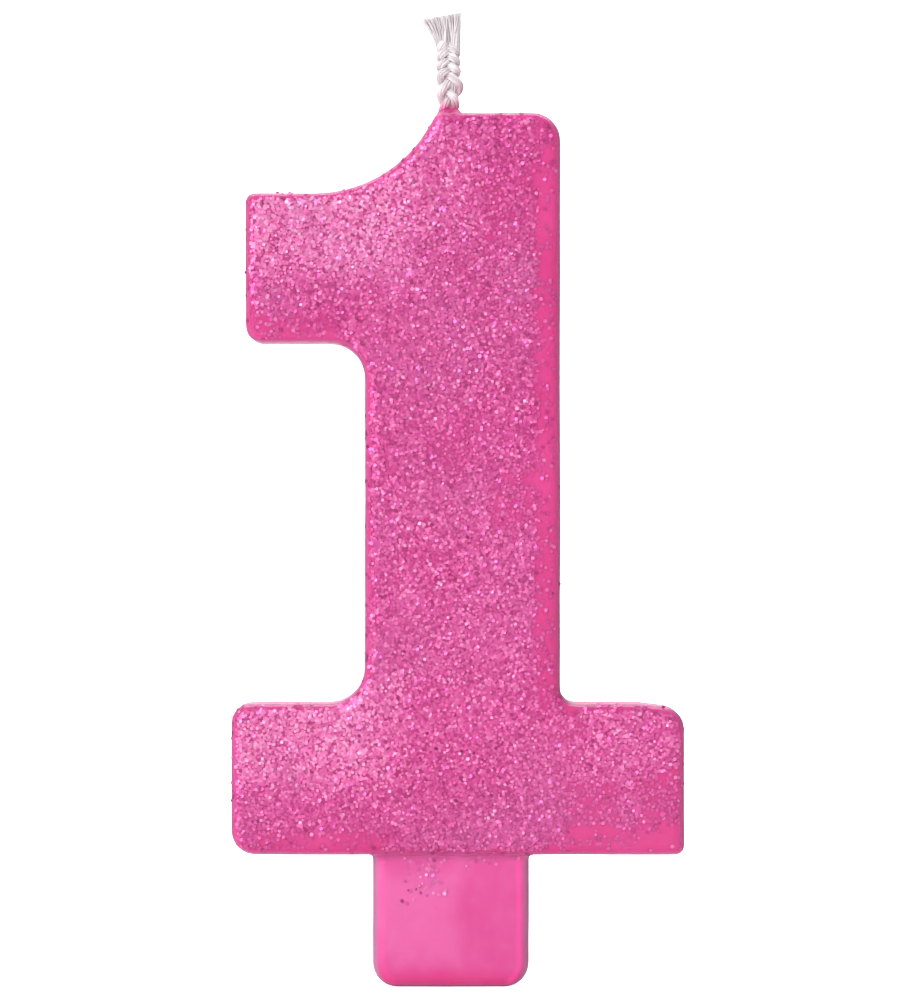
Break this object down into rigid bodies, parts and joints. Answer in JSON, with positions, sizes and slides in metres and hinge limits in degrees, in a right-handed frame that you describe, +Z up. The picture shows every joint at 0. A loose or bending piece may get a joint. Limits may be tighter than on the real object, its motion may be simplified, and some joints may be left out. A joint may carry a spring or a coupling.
{
  "type": "number_birthday_candle",
  "caption": "Pink glitter numeral-one birthday candle: flat cast wax figure on a wax cake peg, with a plaited cotton wick at its top",
  "frame": {"origin": "On the peg's centre line at the foot's underside, where the candle meets the top of the cake", "axes": "-Y is the glittered front, +X is the viewer's right, +Z points up along the figure to the wick"},
  "size_m": [0.0621, 0.0129, 0.1333],
  "materials": {
    "pink_wax": "satin dyed paraffin wax",
    "pink_glitter": "fine film glitter in a clear binder",
    "waxed_cotton": "wax-primed plaited cotton"
  },
  "bodies": {
    "candle": {"wax_casting": "pink_wax", "glitter_coat": "pink_glitter", "wick_in_wax": "waxed_cotton"},
    "wick": {"wick_yarn_1": "waxed_cotton", "wick_yarn_2": "waxed_cotton", "wick_yarn_3": "waxed_cotton"}
  },
  "joints": [
    {"name": "wick_lean", "type": "hinge", "parent": "candle", "child": "wick", "pos_m": [-0.00022, 0, 0.1024], "axis": [0, 1, 0], "range_deg": [-45, 45]}
  ]
}
